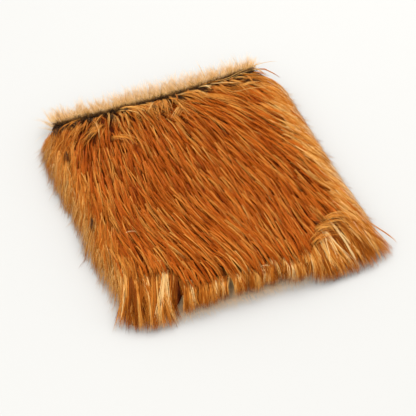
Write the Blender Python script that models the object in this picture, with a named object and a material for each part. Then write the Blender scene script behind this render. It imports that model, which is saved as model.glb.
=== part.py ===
"""Lion mane for a pet, laid flat: a tube of long pile fur cloth that slips over the head.

The face rim is at +Y and the neck rim at -Y. The pile is combed from the face rim to the neck rim.
All lengths are in metres, and the mane rests on the plane z = 0.
"""

import math
import random
from collections import namedtuple

import bmesh
import bpy
from mathutils import Vector

# Cloth tube, as it lies
FLAT_WIDTH = 0.320
TUBE_LENGTH = 0.340
CLOTH = 0.0018
HOLLOW = 0.0095
NECK_ARCH = 0.011
FACE_SKEW = 0.012

# Rolled hems at the two rims
FACE_HEM = 0.0064
NECK_HEM = 0.0044

# Pile
HAIR_LENGTH = 0.064
TOP_PILE = 0.0155
UNDER_PILE = 0.0080
UNDER_MARGIN = 0.0050
SIDE_SHOULDER = 0.020
SIDE_SPREAD = 0.025
NECK_SHOULDER = 0.022
NECK_REACH = 0.066
SKIRT = 0.019
BED_DROP = 0.0042

# Locks, the pointed strands that the pile gathers into
LOCK_WIDTH = 0.026
LOCK_THICKNESS = 0.0070
LOCK_SWAY = 7
LOCK_PITCH_ACROSS = 0.0340
LOCK_PITCH_ALONG = 0.0420
SIDE_LOCK_PITCH = 0.0250
SIDE_LOCK_INSET = 0.0080
SIDE_LOCK_LEAN = 20
NECK_LOCK_PITCH = 0.0215
NECK_LOCK_INSET = 0.0110
FRINGE_REACH = 0.038
FRINGE_RISE = 0.009
FRINGE_STRIP = 0.0045
FRINGE_PITCH = 0.0155
FRINGE_LOCK_WIDTH = 0.0190
FRINGE_LOCK_THICKNESS = 0.0060
FRINGE_SPLAY = 34
FRINGE_SWAY = 9
UNDER_LOCK_REACH = 0.046
UNDER_LOCK_SPREAD = 0.0580
UNDER_LOCK_PITCH = 0.0210
UNDER_LOCK_WIDTH = 0.0250
UNDER_LOCK_THICKNESS = 0.0072
UNDER_LOCK_SWAY = 10

# Gaps between pieces, and between the top pile and the floor
CLEARANCE = 0.0003
FLOOR_GAP = 0.0010

SEED = 11

Section = namedtuple("Section", "along left right arch pile")
SECTIONS = (
    # along is the share of the tube from the face rim, left and right are shares of half the flat
    # width, arch is a share of NECK_ARCH and pile a share of TOP_PILE
    Section(0.00, 0.985, 0.975, 0.20, 0.30),
    Section(0.10, 1.015, 1.025, 0.10, 0.90),
    Section(0.30, 1.045, 1.010, 0.00, 1.05),
    Section(0.52, 1.005, 0.995, 0.00, 0.96),
    Section(0.68, 1.025, 0.985, 0.20, 1.04),
    Section(0.85, 0.985, 0.985, 0.65, 0.95),
    Section(1.00, 0.970, 0.990, 1.00, 0.72),
)

Comb = namedtuple("Comb", "across along lean")
COMB = (
    # across is a share of half the width, along a share of the tube from the face rim, and lean
    # the degrees by which the pile turns from straight back towards the right side
    Comb(-0.92, 0.10, -40),
    Comb(-0.94, 0.30, -16),
    Comb(-0.66, 0.34, -4),
    Comb(-0.30, 0.25, 0),
    Comb(0.20, 0.30, 8),
    Comb(0.41, 0.12, 40),
    Comb(0.70, 0.14, 27),
    Comb(0.95, 0.40, 32),
    Comb(0.14, 0.56, 5),
    Comb(0.74, 0.70, 9),
    Comb(1.00, 0.75, 30),
    Comb(0.40, 0.84, -3),
    Comb(-0.28, 0.88, 20),
    Comb(-0.66, 0.78, 14),
    Comb(-1.10, 0.68, -16),
    Comb(-0.80, 1.00, -6),
    Comb(0.75, 1.00, 6),
)

Dent = namedtuple("Dent", "across along width depth")
DENTS = (
    # soft hollows and humps of the pile: width is a share of FLAT_WIDTH, depth of TOP_PILE
    Dent(-0.62, 0.16, 0.12, 0.22),
    Dent(0.02, 0.10, 0.10, 0.16),
    Dent(-0.70, 0.70, 0.13, 0.30),
    Dent(0.66, 0.84, 0.12, 0.28),
    Dent(0.62, 0.45, 0.16, -0.16),
    Dent(-0.20, 0.55, 0.20, -0.12),
    Dent(0.10, 0.86, 0.16, 0.12),
)

Finish = namedtuple("Finish", "color roughness")
FINISHES = {
    "backing_tube": Finish((0.050, 0.026, 0.014, 1.0), 0.95),
    "face_hem": Finish((0.035, 0.017, 0.009, 1.0), 0.95),
    "neck_hem": Finish((0.040, 0.020, 0.010, 1.0), 0.95),
    "mane_fur_top": Finish((0.440, 0.130, 0.020, 1.0), 0.70),
    "mane_fur_under": Finish((0.360, 0.120, 0.025, 1.0), 0.75),
    "face_fringe": Finish((0.620, 0.330, 0.110, 1.0), 0.70),
}

HALF_WIDTH = FLAT_WIDTH / 2
FACE_Y = TUBE_LENGTH / 2
NECK_Y = -TUBE_LENGTH / 2
MIDDLE_RADIUS = (HOLLOW + CLOTH) / 2
OUTER_RADIUS = MIDDLE_RADIUS + CLOTH / 2
CENTRE_Z = UNDER_PILE + CLEARANCE + OUTER_RADIUS


# Shared shape functions


def smooth_step(low, high, value):
    share = min(1.0, max(0.0, (value - low) / (high - low)))
    return share * share * (3 - 2 * share)


def section_value(along, column):
    """A column of SECTIONS at any share of the tube, on a smooth curve through the rows."""
    rows = [getattr(row, column) for row in SECTIONS]
    along = min(1.0, max(0.0, along))
    last = len(SECTIONS) - 2
    index = next((i for i in range(last + 1) if along <= SECTIONS[i + 1].along), last)
    start, end = SECTIONS[index], SECTIONS[index + 1]
    share = (along - start.along) / (end.along - start.along)
    before = rows[max(0, index - 1)]
    after = rows[min(len(rows) - 1, index + 2)]
    first, second = rows[index], rows[index + 1]
    leave = (second - before) / 2
    arrive = (after - first) / 2
    square, cube = share * share, share**3
    return (
        (2 * cube - 3 * square + 1) * first
        + (cube - 2 * square + share) * leave
        + (3 * square - 2 * cube) * second
        + (cube - square) * arrive
    )


def along_of(y):
    return (FACE_Y - y) / TUBE_LENGTH


def edges(along):
    """The left and right sides of the cloth at a share of the tube."""
    return (
        -HALF_WIDTH * section_value(along, "left"),
        HALF_WIDTH * section_value(along, "right"),
    )


def skewed(x, y):
    """The face rim runs further forward on the right than on the left."""
    return y + FACE_SKEW / 2 * (x / HALF_WIDTH) * (1 - min(1.0, max(0.0, along_of(y))))


def arch_at(x, along):
    left, right = edges(along)
    share = (2 * x - left - right) / (right - left)
    bump = max(0.0, 1 - share * share) ** 2
    return NECK_ARCH * section_value(along, "arch") * bump


def comb_lean(x, y):
    """Direction of the pile at a point, in radians from straight back towards the right."""
    across, along = x / HALF_WIDTH, along_of(y)
    total = weights = 0.0
    for row in COMB:
        distance = (across - row.across) ** 2 + (2 * (along - row.along)) ** 2
        weight = 1 / (distance + 0.02) ** 1.5
        total += weight * row.lean
        weights += weight
    return math.radians(total / weights)


def pile_height(x, y):
    """The top of the pile over the cloth, before it falls over the edges."""
    along = min(1.0, max(0.0, along_of(y)))
    depth = section_value(along, "pile")
    for dent in DENTS:
        apart_x = (x / HALF_WIDTH - dent.across) * HALF_WIDTH
        apart_y = (along - dent.along) * TUBE_LENGTH
        spread = dent.width * FLAT_WIDTH
        depth -= dent.depth * math.exp(-(apart_x**2 + apart_y**2) / spread**2)
    return CENTRE_Z + OUTER_RADIUS + arch_at(x, along) + TOP_PILE * depth


def drape_height(x, y):
    """The outer surface of the pile: over the cloth, then round the edges to the floor."""
    along = min(1.0, max(0.0, along_of(y)))
    left, right = edges(along)
    outside = max(left + SIDE_SHOULDER - x, x - right + SIDE_SHOULDER, 0.0)
    share_x = outside / (SIDE_SHOULDER + SIDE_SPREAD)
    corner = smooth_step(0.35, 0.85, abs(x) / HALF_WIDTH)
    start = NECK_Y + corner * NECK_SHOULDER
    share_y = max(0.0, start - y) / NECK_REACH
    share = math.hypot(share_x, share_y)
    fall = math.sqrt(max(0.0, 1 - share * share))
    return max(FLOOR_GAP, pile_height(x, y) * fall)


# Mesh helpers


def new_object(name, mesh_data, finish=None):
    mesh = bpy.data.meshes.new(name)
    mesh_data.to_mesh(mesh)
    mesh_data.free()
    piece = bpy.data.objects.new(name, mesh)
    bpy.context.scene.collection.objects.link(piece)
    if finish:
        mesh.materials.append(finished(name, finish))
        mesh.shade_smooth()
        mesh.set_sharp_from_angle(angle=math.radians(40))
    else:
        piece.hide_render = True
        piece.display_type = "WIRE"
    return piece


def finished(name, finish):
    material = bpy.data.materials.new(name)
    material.use_nodes = True
    shader = material.node_tree.nodes["Principled BSDF"]
    shader.inputs["Base Color"].default_value = finish.color
    shader.inputs["Roughness"].default_value = finish.roughness
    shader.inputs["Metallic"].default_value = 0.0
    return material


def add_rings(shape, rings):
    """Joins closed rings of equal length with triangles, and returns the rings as vertices. The
    triangles all turn the same way, so that a piece and the cutter that clears it keep their gap."""
    made = [[shape.verts.new(point) for point in ring] for ring in rings]
    for first, second in zip(made, made[1:]):
        for i in range(len(first)):
            j = (i + 1) % len(first)
            shape.faces.new((first[i], first[j], second[j]))
            shape.faces.new((first[i], second[j], second[i]))
    return made


def add_tube_of_rings(shape, rings):
    """A solid lofted through closed rings, with a face over each end."""
    made = add_rings(shape, rings)
    shape.faces.new(reversed(made[0]))
    shape.faces.new(made[-1])


def face_outwards(shape):
    bmesh.ops.recalc_face_normals(shape, faces=shape.faces)


def connected_faces(shape):
    """The faces of each separate skin."""
    left_over = set(shape.faces)
    while left_over:
        skin = set()
        waiting = [left_over.pop()]
        while waiting:
            face = waiting.pop()
            skin.add(face)
            beside = {other for edge in face.edges for other in edge.link_faces} & left_over
            left_over -= beside
            waiting += beside
        yield skin


def enclosed_volume(faces):
    return sum(f.calc_center_median().dot(f.normal) * f.calc_area() for f in faces) / 3


def subtract(piece, cutter):
    """Joins the overlapping shells of a piece into one body and cuts the cutter from it. Small
    pockets that the locks close off between them are filled, so that one skin is left."""
    cut = piece.modifiers.new("Cut", "BOOLEAN")
    cut.operation = "DIFFERENCE"
    cut.solver = "EXACT"
    cut.use_self = True
    cut.object = cutter
    bpy.context.view_layer.update()
    shown = piece.evaluated_get(bpy.context.evaluated_depsgraph_get())
    shape = bmesh.new()
    shape.from_mesh(shown.data)
    skins = sorted(connected_faces(shape), key=enclosed_volume)
    for skin in skins[:-1]:
        bmesh.ops.delete(shape, geom=list(skin), context="FACES")
    piece.modifiers.remove(cut)
    shape.to_mesh(piece.data)
    shape.free()


# The cloth tube and what follows its loop

LOOP_FLAT_STEPS = 12
LOOP_ROUND_STEPS = 5
ALONG_STEPS = 12


def wall_loop(along, y, offset):
    """One section of the tube, grown by offset from the middle of the cloth: flat below, arched
    above and round at the sides. Each entry is a point and the direction out of the tube."""
    left, right = edges(along)
    low_x, high_x = left + OUTER_RADIUS, right - OUTER_RADIUS
    radius = MIDDLE_RADIUS + offset
    loop = []
    for i in range(LOOP_FLAT_STEPS):
        x = low_x + (high_x - low_x) * i / LOOP_FLAT_STEPS
        loop.append((x, CENTRE_Z - radius, 0.0, -1.0))
    for i in range(LOOP_ROUND_STEPS):
        turn = math.pi * i / LOOP_ROUND_STEPS
        out_x, out_z = math.sin(turn), -math.cos(turn)
        loop.append((high_x + radius * out_x, CENTRE_Z + radius * out_z, out_x, out_z))
    for i in range(LOOP_FLAT_STEPS):
        x = high_x + (low_x - high_x) * i / LOOP_FLAT_STEPS
        loop.append((x, CENTRE_Z + radius + arch_at(x, along), 0.0, 1.0))
    for i in range(LOOP_ROUND_STEPS):
        turn = math.pi * i / LOOP_ROUND_STEPS
        out_x, out_z = -math.sin(turn), math.cos(turn)
        loop.append((low_x + radius * out_x, CENTRE_Z + radius * out_z, out_x, out_z))
    return [
        (Vector((x, skewed(x, y), z)), Vector((out_x, 0.0, out_z)))
        for x, z, out_x, out_z in loop
    ]


def loop_points(along, y, offset):
    return [point for point, _ in wall_loop(along, y, offset)]


def make_backing_tube():
    shape = bmesh.new()
    shares = [i / ALONG_STEPS for i in range(ALONG_STEPS + 1)]
    stations = [(share, FACE_Y - share * TUBE_LENGTH) for share in shares]
    outer = add_rings(shape, [loop_points(s, y, CLOTH / 2) for s, y in stations])
    inner = add_rings(shape, [loop_points(s, y, -CLOTH / 2) for s, y in stations])
    for end in (0, -1):
        for i in range(len(outer[end])):
            j = (i + 1) % len(outer[end])
            corners = (outer[end][i], outer[end][j], inner[end][j], inner[end][i])
            shape.faces.new(corners)
    face_outwards(shape)
    return new_object("backing_tube", shape, FINISHES["backing_tube"])


HEM_SIDES = 8


def make_hem(name, along, rim_y, forward, diameter):
    """A rolled hem along a rim, flush with the inside of the cloth so that the mouth stays open."""
    radius = diameter / 2
    shape = bmesh.new()
    rings = []
    for point, out in wall_loop(along, rim_y, radius - CLOTH / 2):
        middle = point + Vector((0, forward * (radius + CLEARANCE), 0))
        ring = []
        for i in range(HEM_SIDES):
            turn = math.tau * (i + 0.5) / HEM_SIDES
            ring.append(middle + radius * (math.cos(turn) * out + math.sin(turn) * Vector((0, 1, 0))))
        rings.append(ring)
    rings.append(rings[0])
    made = add_rings(shape, rings)
    bmesh.ops.remove_doubles(shape, verts=made[0] + made[-1], dist=CLEARANCE / 10)
    face_outwards(shape)
    return new_object(name, shape, FINISHES[name])


def envelope_stations():
    """Share, y and offset of each section of the space that the tube and its hems take up."""
    face_front = FACE_Y + FACE_HEM + 2 * CLEARANCE
    neck_front = NECK_Y - NECK_HEM - 2 * CLEARANCE
    cloth_offset = CLOTH / 2 + CLEARANCE
    face_offset = FACE_HEM - CLOTH / 2 + CLEARANCE
    neck_offset = NECK_HEM - CLOTH / 2 + CLEARANCE
    stations = [(0.0, face_front, face_offset), (0.0, FACE_Y, face_offset)]
    for i in range(ALONG_STEPS + 1):
        share = i / ALONG_STEPS
        inset = CLEARANCE / 2 * ((i == 0) - (i == ALONG_STEPS))
        stations.append((share, FACE_Y - share * TUBE_LENGTH - inset, cloth_offset))
    stations += [(1.0, NECK_Y, neck_offset), (1.0, neck_front, neck_offset)]
    return stations


def add_envelope(shape):
    """The tube, its hollow and its hems as one solid, grown by the clearance."""
    add_tube_of_rings(shape, [loop_points(s, y, offset) for s, y, offset in envelope_stations()])


def add_under_slab(shape, grow, longer, bottom):
    """The crushed pile under the lower wall, which reaches up round the side folds."""
    rings = []
    for i in range(ALONG_STEPS + 1):
        share = i / ALONG_STEPS
        y = FACE_Y - share * TUBE_LENGTH + longer * ((i == 0) - (i == ALONG_STEPS))
        left, right = edges(share)
        low_x, high_x = left - UNDER_MARGIN - grow, right + UNDER_MARGIN + grow
        top = CENTRE_Z + grow
        ring = []
        for j in range(LOOP_FLAT_STEPS + 1):
            x = low_x + (high_x - low_x) * j / LOOP_FLAT_STEPS
            ring.append(Vector((x, skewed(x, y), bottom)))
        ring.append(Vector((high_x, skewed(high_x, y), top)))
        ring.append(Vector((low_x, skewed(low_x, y), top)))
        rings.append(ring)
    add_tube_of_rings(shape, rings)


# Locks

LockRing = namedtuple("LockRing", "along width thickness")
LOCK_RINGS = (
    # along is a share of the lock's length; its two ends are points
    LockRing(0.18, 0.80, 0.90),
    LockRing(0.52, 1.00, 1.00),
)
PATH_STEP = 0.002


def drape_path(x, y, length, lean_shift, sink):
    """Points along the pile's surface from a root, stepped with the comb for the given length."""
    points = []
    travelled = 0.0
    while True:
        z = drape_height(x, y)
        points.append(Vector((x, y, max(FLOOR_GAP, z - sink))))
        if travelled >= length:
            return points
        lean = comb_lean(x, y) + lean_shift
        ahead_x = x + math.sin(lean) * PATH_STEP / 2
        ahead_y = y - math.cos(lean) * PATH_STEP / 2
        slope = (drape_height(ahead_x, ahead_y) - z) / (PATH_STEP / 2)
        step = PATH_STEP / math.hypot(1, min(3.0, max(-3.0, slope)))
        x += math.sin(lean) * step
        y -= math.cos(lean) * step
        travelled += PATH_STEP


def sampled(path, share):
    place = share * (len(path) - 1)
    index = min(len(path) - 2, int(place))
    return path[index].lerp(path[index + 1], place - index)


def add_lock(shape, path, width, thickness, lowest):
    """A pointed, ridged strand along a path: a point at each end, and a diamond between."""
    first = shape.verts.new(path[0])
    last = shape.verts.new(path[-1])
    rings = []
    for row in LOCK_RINGS:
        middle = sampled(path, row.along)
        ahead = sampled(path, (1 + row.along) / 2) - sampled(path, row.along / 2)
        side = ahead.cross(Vector((0, 0, 1))).normalized()
        out = side.cross(ahead).normalized()
        half_wide, half_thick = width * row.width / 2, thickness * row.thickness / 2
        corners = (side * half_wide, out * half_thick, -side * half_wide, -out * half_thick)
        ring = [middle + corner for corner in corners]
        for point in ring:
            point.z = max(lowest, point.z)
        rings.append(ring)
    made = add_rings(shape, rings)
    sides = len(made[0])
    for i in range(sides):
        shape.faces.new((first, made[0][(i + 1) % sides], made[0][i]))
        shape.faces.new((last, made[-1][i], made[-1][(i + 1) % sides]))


def top_roots(chance):
    """Roots of the top locks, in staggered rows from the face rim to the neck rim. Each root is x,
    y and the degrees by which its lock turns from the comb."""
    rows = round(TUBE_LENGTH / LOCK_PITCH_ALONG)
    for row in range(rows):
        share = (row + 0.25) / rows
        left, right = edges(share)
        columns = round((right - left) / LOCK_PITCH_ACROSS)
        for column in range(columns):
            across = (column + 0.3 + 0.4 * (row % 2) + chance.uniform(-0.12, 0.12)) / columns
            x = left + (right - left) * across
            y = FACE_Y - share * TUBE_LENGTH + chance.uniform(-0.15, 0.15) * LOCK_PITCH_ALONG
            yield x, min(y, FACE_Y - LOCK_WIDTH / 3), 0.0


def neck_roots(chance):
    """Roots of the close row of locks that hangs over the neck rim."""
    left, right = edges(1.0)
    count = round((right - left) / NECK_LOCK_PITCH)
    for i in range(count):
        x = left + (right - left) * (i + 0.5 + chance.uniform(-0.12, 0.12)) / count
        yield x, NECK_Y + NECK_LOCK_INSET * chance.uniform(0.7, 1.3), 0.0


def side_roots(chance):
    """Roots of the locks that fall over the side folds."""
    count = round(TUBE_LENGTH / SIDE_LOCK_PITCH)
    for i in range(count):
        share = (i + 0.5) / count
        left, right = edges(share)
        y = FACE_Y - TUBE_LENGTH * share
        yield left + SIDE_LOCK_INSET, y + chance.uniform(-0.2, 0.2) * SIDE_LOCK_PITCH, -SIDE_LOCK_LEAN
        yield right - SIDE_LOCK_INSET, y + chance.uniform(-0.2, 0.2) * SIDE_LOCK_PITCH, SIDE_LOCK_LEAN


BED_ACROSS = 16
BED_ALONG = 13


def add_bed(shape):
    """The dense pile under the locks: a loft from side to side, down to just above the floor."""
    rings = []
    for i in range(BED_ALONG + 1):
        share = i / BED_ALONG
        y = FACE_Y - share * (TUBE_LENGTH + NECK_HEM)
        left, right = edges(share)
        low_x, high_x = left - SKIRT, right + SKIRT
        ring = []
        for j in range(BED_ACROSS + 1):
            turn = math.pi * j / BED_ACROSS
            x = (low_x + high_x) / 2 + (high_x - low_x) / 2 * math.cos(turn)
            z = max(2 * FLOOR_GAP, drape_height(x, y) - BED_DROP * smooth_step(0, 0.1, share))
            ring.append(Vector((x, skewed(x, y), z)))
        ring.append(Vector((low_x, skewed(low_x, y), FLOOR_GAP)))
        ring.append(Vector((high_x, skewed(high_x, y), FLOOR_GAP)))
        rings.append(ring)
    add_tube_of_rings(shape, rings)


def make_top_fur(cutter):
    chance = random.Random(SEED)
    shape = bmesh.new()
    add_bed(shape)
    for x, y, turn in [*top_roots(chance), *neck_roots(chance), *side_roots(chance)]:
        length = HAIR_LENGTH * chance.uniform(0.92, 1.08)
        sink = LOCK_THICKNESS * chance.uniform(0.30, 0.55)
        turn += chance.uniform(-LOCK_SWAY, LOCK_SWAY)
        path = drape_path(x, y, length, math.radians(turn), sink)
        path[0].z -= LOCK_THICKNESS
        width = LOCK_WIDTH * chance.uniform(0.85, 1.15)
        add_lock(shape, path, width, LOCK_THICKNESS, FLOOR_GAP)
    face_outwards(shape)
    piece = new_object("mane_fur_top", shape, FINISHES["mane_fur_top"])
    subtract(piece, cutter)
    return piece


def straight_path(x, y, z, lean, length, rise):
    """A path that runs out of a rim with a slow rise, for the fringe and the under locks."""
    steps = 8
    points = []
    for i in range(steps + 1):
        share = i / steps
        ahead = Vector((math.sin(lean), math.cos(lean), 0)) * length * share
        points.append(Vector((x, y, z)) + ahead + Vector((0, 0, rise * share * share)))
    return points


def make_under_fur(cutter):
    chance = random.Random(SEED + 1)
    shape = bmesh.new()
    add_under_slab(shape, 0.0, 0.0, 0.0)
    count = round(2 * UNDER_LOCK_SPREAD / UNDER_LOCK_PITCH)
    for i in range(count):
        x = UNDER_LOCK_SPREAD * (2 * (i + 0.5) / count - 1)
        lean = math.pi - math.radians(chance.uniform(-UNDER_LOCK_SWAY, UNDER_LOCK_SWAY))
        start = NECK_Y + UNDER_LOCK_WIDTH / 2
        length = UNDER_LOCK_REACH + UNDER_LOCK_WIDTH / 2
        path = straight_path(x, start, UNDER_PILE / 2, lean, length, -UNDER_PILE / 4)
        add_lock(shape, path, UNDER_LOCK_WIDTH, UNDER_LOCK_THICKNESS, 0.0)
    face_outwards(shape)
    piece = new_object("mane_fur_under", shape, FINISHES["mane_fur_under"])
    subtract(piece, cutter)
    return piece


def make_face_fringe():
    """The pile of the turned-in rim, which stands out of the mouth past the hem: a thin strip of
    cloth and pile against the hem, with locks fused to it."""
    chance = random.Random(SEED + 2)
    shape = bmesh.new()
    left, right = edges(0.0)
    low_x, high_x = left + OUTER_RADIUS, right - OUTER_RADIUS
    start = FACE_Y + FACE_HEM + 2 * CLEARANCE
    bottom, top = FLOOR_GAP, CENTRE_Z - MIDDLE_RADIUS
    rings = []
    for i in range(LOOP_FLAT_STEPS + 1):
        x = low_x + (high_x - low_x) * i / LOOP_FLAT_STEPS
        back, front = skewed(x, start), skewed(x, start + FRINGE_STRIP)
        corners = ((back, bottom), (front, bottom), (front, top), (back, top))
        rings.append([Vector((x, y, z)) for y, z in corners])
    add_tube_of_rings(shape, rings)
    count = round((high_x - low_x) / FRINGE_PITCH)
    for i in range(count):
        share = (i + 0.5) / count
        x = low_x + (high_x - low_x) * share
        splay = FRINGE_SPLAY * (2 * share - 1) ** 3 + chance.uniform(-FRINGE_SWAY, FRINGE_SWAY)
        reach = FRINGE_REACH * chance.uniform(0.82, 1.08)
        root_y = skewed(x, start + FRINGE_STRIP / 4)
        middle_z = (bottom + top) / 2
        path = straight_path(x, root_y, middle_z, math.radians(splay), reach, FRINGE_RISE)
        add_lock(shape, path, FRINGE_LOCK_WIDTH, FRINGE_LOCK_THICKNESS, bottom)
    face_outwards(shape)
    piece = new_object("face_fringe", shape, FINISHES["face_fringe"])
    trim = bmesh.new()
    add_envelope(trim)
    face_outwards(trim)
    subtract(piece, new_object("fringe_cutter", trim))
    return piece


def centred(pieces):
    """Moves everything so that the middle of the mane's footprint is the origin."""
    graph = bpy.context.evaluated_depsgraph_get()
    corners = []
    for piece in pieces:
        shown = piece.evaluated_get(graph)
        corners += [shown.matrix_world @ Vector(corner) for corner in shown.bound_box]
    middle_x = (min(c.x for c in corners) + max(c.x for c in corners)) / 2
    middle_y = (min(c.y for c in corners) + max(c.y for c in corners)) / 2
    for item in bpy.context.scene.objects:
        item.location -= Vector((middle_x, middle_y, 0))


def make_cutter(name, with_under_slab):
    shape = bmesh.new()
    add_envelope(shape)
    face_outwards(shape)
    cutter = new_object(name, shape)
    if with_under_slab:
        slab = bmesh.new()
        add_under_slab(slab, CLEARANCE, FACE_HEM + NECK_HEM, -UNDER_PILE)
        face_outwards(slab)
        join = cutter.modifiers.new("Slab", "BOOLEAN")
        join.operation = "UNION"
        join.solver = "EXACT"
        join.object = new_object(name + "_slab", slab)
    return cutter


def main():
    for item in list(bpy.data.objects):
        bpy.data.objects.remove(item)
    pieces = [
        make_backing_tube(),
        make_hem("face_hem", 0.0, FACE_Y, 1, FACE_HEM),
        make_hem("neck_hem", 1.0, NECK_Y, -1, NECK_HEM),
        make_top_fur(make_cutter("top_cutter", True)),
        make_under_fur(make_cutter("under_cutter", False)),
        make_face_fringe(),
    ]
    bpy.context.view_layer.update()
    centred(pieces)


main()
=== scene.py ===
import math

import bmesh
import bpy
import numpy as np
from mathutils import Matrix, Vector


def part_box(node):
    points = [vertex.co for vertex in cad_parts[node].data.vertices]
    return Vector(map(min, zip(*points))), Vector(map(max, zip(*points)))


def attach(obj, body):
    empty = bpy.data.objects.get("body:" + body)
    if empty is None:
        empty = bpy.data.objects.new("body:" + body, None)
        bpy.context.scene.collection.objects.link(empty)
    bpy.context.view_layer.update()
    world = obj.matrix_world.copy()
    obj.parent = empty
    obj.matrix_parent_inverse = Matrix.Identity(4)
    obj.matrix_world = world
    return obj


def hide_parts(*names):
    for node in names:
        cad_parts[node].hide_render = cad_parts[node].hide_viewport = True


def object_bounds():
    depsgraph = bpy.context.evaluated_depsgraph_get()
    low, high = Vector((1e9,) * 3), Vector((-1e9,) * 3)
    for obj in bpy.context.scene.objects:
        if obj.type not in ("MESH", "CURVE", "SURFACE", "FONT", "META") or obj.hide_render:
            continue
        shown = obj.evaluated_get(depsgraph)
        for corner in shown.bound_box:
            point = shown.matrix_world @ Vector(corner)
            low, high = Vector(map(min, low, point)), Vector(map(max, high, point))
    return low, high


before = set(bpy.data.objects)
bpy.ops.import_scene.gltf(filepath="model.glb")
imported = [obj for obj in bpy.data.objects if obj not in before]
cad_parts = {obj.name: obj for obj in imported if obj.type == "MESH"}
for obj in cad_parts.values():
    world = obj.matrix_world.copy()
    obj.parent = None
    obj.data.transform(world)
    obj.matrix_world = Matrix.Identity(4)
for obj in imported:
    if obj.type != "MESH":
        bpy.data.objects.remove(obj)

cadBox = [list(corner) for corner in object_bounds()]
chance = np.random.default_rng(7)


def vary(amount, like):  # a normal scatter round nothing, a value for each of like
    return chance.normal(0, amount, len(like))


def between(low, high, like):
    return chance.uniform(low, high, len(like))



# the mane's own sizes, as it was built (metres)
mane = {
    "halfWidth": 0.16, "length": 0.34, "cloth": 0.0018, "hollow": 0.0095,
    "underPile": 0.008, "topPile": 0.0155, "neckArch": 0.011, "faceSkew": 0.012,
    "sideShoulder": 0.02, "sideSpread": 0.025, "neckShoulder": 0.022, "neckReach": 0.066,
    "gap": 0.0003, "floorGap": 0.001, "hair": 0.064, "spare": 0.0085,
}
halfWidth, tubeLength = mane["halfWidth"], mane["length"]
# how far the dark line of the face rim lies forward of the hem: across, metres
rimSag = [(-1.0, -0.5, 0.0, 0.25, 0.5, 0.76, 1.0), (0.0015, 0.0045, 0.007, 0.0058, 0.004, 0.0, -0.002)]
# along the tube from the face rim: left and right edge, arch and depth of pile, as shares
sections = {
    "along": [0.0, 0.1, 0.3, 0.52, 0.68, 0.85, 1.0],
    "left": [0.985, 1.015, 1.045, 1.005, 1.025, 0.985, 0.97],
    "right": [0.975, 1.025, 1.01, 0.995, 0.985, 0.985, 0.99],
    "arch": [0.2, 0.1, 0.0, 0.0, 0.2, 0.65, 1.0],
    "pile": [0.3, 0.9, 1.05, 0.96, 1.04, 0.95, 0.72],
}
# where the pile leans, in degrees towards the right: across, along, lean
comb = np.array([
    (-0.92, 0.1, -40), (-0.94, 0.3, -16), (-0.66, 0.34, -4), (-0.3, 0.25, 0), (0.2, 0.3, 8),
    (0.41, 0.12, 40), (0.7, 0.14, 27), (0.95, 0.4, 32), (0.14, 0.56, 5), (0.74, 0.7, 9),
    (1.0, 0.75, 30), (0.4, 0.84, -3), (-0.28, 0.88, 20), (-0.66, 0.78, 14), (-1.1, 0.68, -16),
    (-0.8, 1.0, -6), (0.75, 1.0, 6),
])
# soft hollows and humps of the pile: across, along, width, depth
dents = [
    (-0.62, 0.16, 0.12, 0.22), (0.02, 0.1, 0.1, 0.16), (-0.7, 0.7, 0.13, 0.3),
    (0.66, 0.84, 0.12, 0.28), (0.62, 0.45, 0.16, -0.16), (-0.2, 0.55, 0.2, -0.12),
    (0.1, 0.86, 0.16, 0.12),
]


# where the combed pile ends and the hair of the neck rim falls: across, along, lean, reach (metres)
falls = np.array([
    (-1.1, 0.92, -10, 0.058), (-0.93, 0.93, -13, 0.068), (-0.8, 0.955, -16, 0.072),
    (-0.66, 0.97, -20, 0.07), (-0.59, 1.03, -19, 0.04), (-0.52, 1.08, -17, 0.016),
    (-0.3, 1.105, -14, 0.007), (0.0, 1.1, -12, 0.007), (0.3, 1.1, -8, 0.01),
    (0.46, 1.09, -2, 0.022), (0.56, 1.02, 0, 0.062), (0.68, 0.96, 3, 0.082),
    (0.85, 0.94, 8, 0.082), (1.0, 0.93, 12, 0.07), (1.1, 0.92, 15, 0.056),
])
# dark openings in the pile: across, along, size (metres)
hollows = [
    (-0.47, 0.085, 0.005), (0.13, 0.055, 0.0045), (-0.1, 0.075, 0.0045), (-0.72, 0.17, 0.0045),
    (-0.86, 0.06, 0.0035), (0.0, 0.1, 0.003), (-1.05, 0.32, 0.003), (-1.04, 0.65, 0.0035),
    (-0.91, 1.04, 0.003), (-0.93, 1.08, 0.004), (-0.63, 1.06, 0.004), (-0.66, 1.1, 0.005),
    (-0.25, 1.115, 0.0045), (0.72, 1.03, 0.0035), (0.8, 1.0, 0.004), (0.83, 1.045, 0.0045),
    (0.64, 0.97, 0.003),
]


def sectionValue(along, column):  # a smooth curve through the rows, as the cloth was cut
    stations, rows = np.array(sections["along"]), np.array(sections[column])
    along = np.clip(along, 0, 1)
    i = np.clip(np.searchsorted(stations, along) - 1, 0, len(stations) - 2)
    t = (along - stations[i]) / (stations[i + 1] - stations[i])
    first, second = rows[i], rows[i + 1]
    leave = (second - rows[np.maximum(i - 1, 0)]) / 2
    arrive = (rows[np.minimum(i + 2, len(rows) - 1)] - first) / 2
    return ((2 * t**3 - 3 * t**2 + 1) * first + (t**3 - 2 * t**2 + t) * leave
            + (3 * t**2 - 2 * t**3) * second + (t**3 - t**2) * arrive)


# the tube's own axes inside the frame
tubeLow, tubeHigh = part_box("backing_tube")
cutStations = np.linspace(0, 1, 13)
tubeX = tubeLow.x + halfWidth * sectionValue(cutStations, "left").max()
tubeY = tubeLow.y + tubeLength / 2
faceY, neckY = tubeY + tubeLength / 2, tubeY - tubeLength / 2
middleRadius = (mane["hollow"] + mane["cloth"]) / 2
outerRadius = middleRadius + mane["cloth"] / 2
centreZ = mane["underPile"] + mane["gap"] + outerRadius


def alongOf(y):
    return (faceY - y) / tubeLength


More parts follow.
